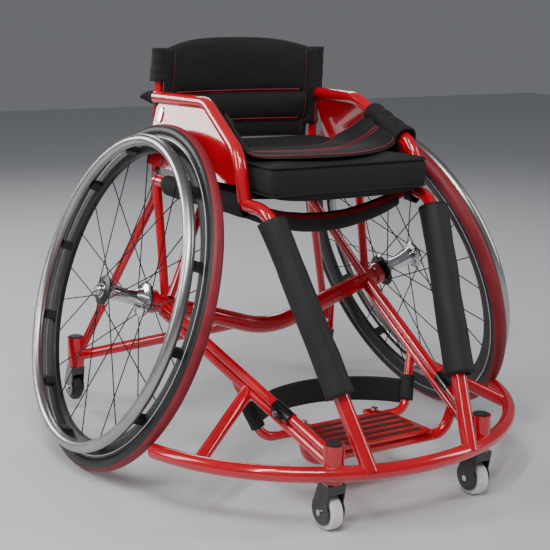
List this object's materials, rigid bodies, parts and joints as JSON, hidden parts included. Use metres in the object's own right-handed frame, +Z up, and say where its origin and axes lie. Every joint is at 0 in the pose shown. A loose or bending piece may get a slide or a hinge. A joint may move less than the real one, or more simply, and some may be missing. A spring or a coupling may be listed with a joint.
{
  "type": "sports wheelchair",
  "caption": "Rigid sports wheelchair with cambered spoked wheels and handrims, hoop bumper, swivel casters, padded seat, backrest, side guards and footplate.",
  "frame": {"origin": "on the floor under the middle of the overall length and width", "axes": "+Z up, the chair faces -Y, +X is the rider's left"},
  "size_m": [0.8386, 0.8039, 0.714],
  "materials": {
    "frame_red": "deep gloss paint",
    "plate_red": "gloss paint",
    "guard_red": "gloss panel",
    "barrel_red": "gloss paint",
    "rim_black": "satin anodised",
    "spoke_black": "satin",
    "fork_black": "satin",
    "clamp_black": "gloss moulded",
    "cap_black": "moulded",
    "tab_black": "moulded",
    "hub_silver": "polished",
    "handrim_silver": "satin anodised",
    "bolt_silver": "machined",
    "axle_steel": "machined",
    "tyre_red": "smooth tread",
    "caster_tyre": "smooth",
    "caster_hub": "moulded",
    "antitip_tyre": "smooth",
    "grip": "ribbed",
    "cushion_fabric": "woven stretch cover",
    "back_fabric": "woven mesh and trim",
    "sling_fabric": "webbing",
    "belt_fabric": "padded webbing",
    "strap_fabric": "webbing",
    "pad_fabric": "neoprene"
  },
  "bodies": {
    "frame": {"camber_tube": "frame_red", "axle_receivers": "frame_red", "wheel_axles": "axle_steel", "main_tube_left": "frame_red", "main_tube_right": "frame_red", "telescope_left": "frame_red", "telescope_right": "frame_red", "tube_clamps": "clamp_black", "bumper_hoop": "frame_red", "bumper_caps": "frame_red", "wing_struts": "frame_red", "leg_tubes": "frame_red", "side_rail_left": "frame_red", "side_rail_right": "frame_red", "rear_struts": "frame_red", "seat_cross_tubes": "frame_red", "back_post_left": "frame_red", "back_post_right": "frame_red", "antitip_stays": "frame_red", "caster_barrels": "barrel_red", "barrel_caps": "cap_black", "guard_tubes": "frame_red", "guard_panels": "guard_red", "foot_tube_front": "frame_red", "foot_tube_rear": "frame_red", "footplate": "plate_red", "footplate_grips": "grip", "frame_bolts": "bolt_silver", "seat_cushion": "cushion_fabric", "seat_sling": "sling_fabric", "front_bar_sleeve": "pad_fabric", "back_upholstery": "back_fabric", "leg_pad_left": "pad_fabric", "leg_pad_right": "pad_fabric", "lap_belt": "belt_fabric", "calf_strap": "strap_fabric"},
    "wheel_left": {"tyre_left": "tyre_red", "rim_left": "rim_black", "spokes_left": "spoke_black", "hub_left": "hub_silver", "handrim_left": "handrim_silver", "handrim_tabs_left": "tab_black"},
    "button_left": {"axle_button_left": "axle_steel"},
    "caster_left": {"caster_fork_left": "fork_black"},
    "caster_wheel_left": {"caster_tyre_left": "caster_tyre", "caster_hub_left": "caster_hub"},
    "antitip_left": {"antitip_fork_left": "fork_black"},
    "antitip_wheel_left_body": {"antitip_wheel_left": "antitip_tyre"},
    "wheel_right": {"tyre_right": "tyre_red", "rim_right": "rim_black", "spokes_right": "spoke_black", "hub_right": "hub_silver", "handrim_right": "handrim_silver", "handrim_tabs_right": "tab_black"},
    "button_right": {"axle_button_right": "axle_steel"},
    "caster_right": {"caster_fork_right": "fork_black"},
    "caster_wheel_right": {"caster_tyre_right": "caster_tyre", "caster_hub_right": "caster_hub"},
    "antitip_right": {"antitip_fork_right": "fork_black"},
    "antitip_wheel_right_body": {"antitip_wheel_right": "antitip_tyre"}
  },
  "joints": [
    {"name": "wheel_left_spin", "type": "hinge", "parent": "frame", "child": "wheel_left", "pos_m": [0.292, 0.097, 0.28989], "axis": [0.9483, 0, 0.3173], "continuous": true},
    {"name": "button_left_press", "type": "slide", "parent": "frame", "child": "button_left", "axis": [-0.9483, 0, -0.3173], "range_m": [0, 0.003], "stiffness_N_per_m": 800, "springref_m": -0.0005},
    {"name": "caster_left_swivel", "type": "hinge", "parent": "frame", "child": "caster_left", "pos_m": [0.143, -0.348, 0.08], "axis": [0, 0, 1], "continuous": true},
    {"name": "caster_left_roll", "type": "hinge", "parent": "caster_left", "child": "caster_wheel_left", "pos_m": [0.143, -0.337, 0.029], "axis": [1, 0, 0], "continuous": true},
    {"name": "antitip_left_swivel", "type": "hinge", "parent": "frame", "child": "antitip_left", "pos_m": [0.288, 0.34, 0.094], "axis": [0, 0, 1], "continuous": true},
    {"name": "antitip_left_roll", "type": "hinge", "parent": "antitip_left", "child": "antitip_wheel_left_body", "pos_m": [0.288, 0.352, 0.048], "axis": [1, 0, 0], "continuous": true},
    {"name": "wheel_right_spin", "type": "hinge", "parent": "frame", "child": "wheel_right", "pos_m": [-0.292, 0.097, 0.28989], "axis": [-0.9483, 0, 0.3173], "continuous": true},
    {"name": "button_right_press", "type": "slide", "parent": "frame", "child": "button_right", "axis": [0.9483, 0, -0.3173], "range_m": [0, 0.003], "stiffness_N_per_m": 800, "springref_m": -0.0005},
    {"name": "caster_right_swivel", "type": "hinge", "parent": "frame", "child": "caster_right", "pos_m": [-0.143, -0.348, 0.08], "axis": [0, 0, 1], "continuous": true},
    {"name": "caster_right_roll", "type": "hinge", "parent": "caster_right", "child": "caster_wheel_right", "pos_m": [-0.143, -0.337, 0.029], "axis": [1, 0, 0], "continuous": true},
    {"name": "antitip_right_swivel", "type": "hinge", "parent": "frame", "child": "antitip_right", "pos_m": [-0.288, 0.34, 0.094], "axis": [0, 0, 1], "continuous": true},
    {"name": "antitip_right_roll", "type": "hinge", "parent": "antitip_right", "child": "antitip_wheel_right_body", "pos_m": [-0.288, 0.352, 0.048], "axis": [1, 0, 0], "continuous": true}
  ]
}
